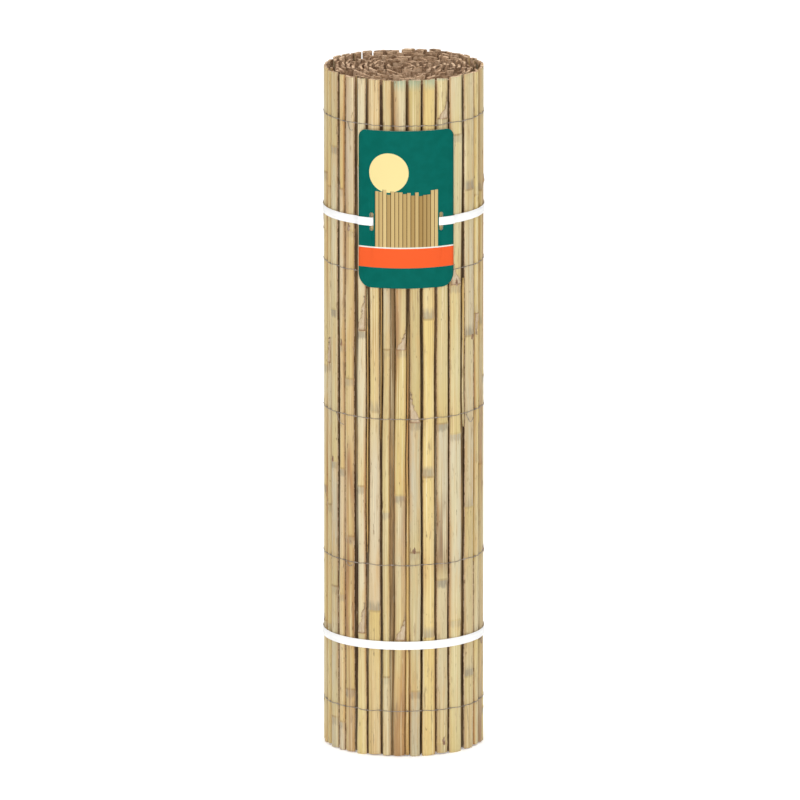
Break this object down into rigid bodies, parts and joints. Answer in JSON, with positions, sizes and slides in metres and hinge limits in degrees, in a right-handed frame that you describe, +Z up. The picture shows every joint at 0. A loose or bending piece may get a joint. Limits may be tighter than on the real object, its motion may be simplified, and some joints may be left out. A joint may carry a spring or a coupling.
{
  "type": "cane screen roll",
  "caption": "Garden screen of split half-round canes bound with wire, rolled up and standing on its end, tied with plastic straps that also hold a slotted card.",
  "frame": {"origin": "centre of the roll's lower end, on the surface that it stands on", "axes": "+Z up along the roll's axis, -Y towards the card at the front, +X to the right as seen from the front"},
  "size_m": [0.2355, 0.24, 1],
  "materials": {
    "cane": "dry natural straw-coloured cane skin",
    "wire": "dull galvanised wire",
    "strap": "white polypropylene packing strap",
    "card": "coated printed card, dark green"
  },
  "bodies": {
    "root": {"cane_mat": "cane", "binding_wire_1": "wire", "binding_wire_2": "wire", "binding_wire_3": "wire", "binding_wire_4": "wire", "binding_wire_5": "wire", "lower_strap": "strap", "upper_strap": "strap", "label_card": "card"}
  },
  "joints": []
}
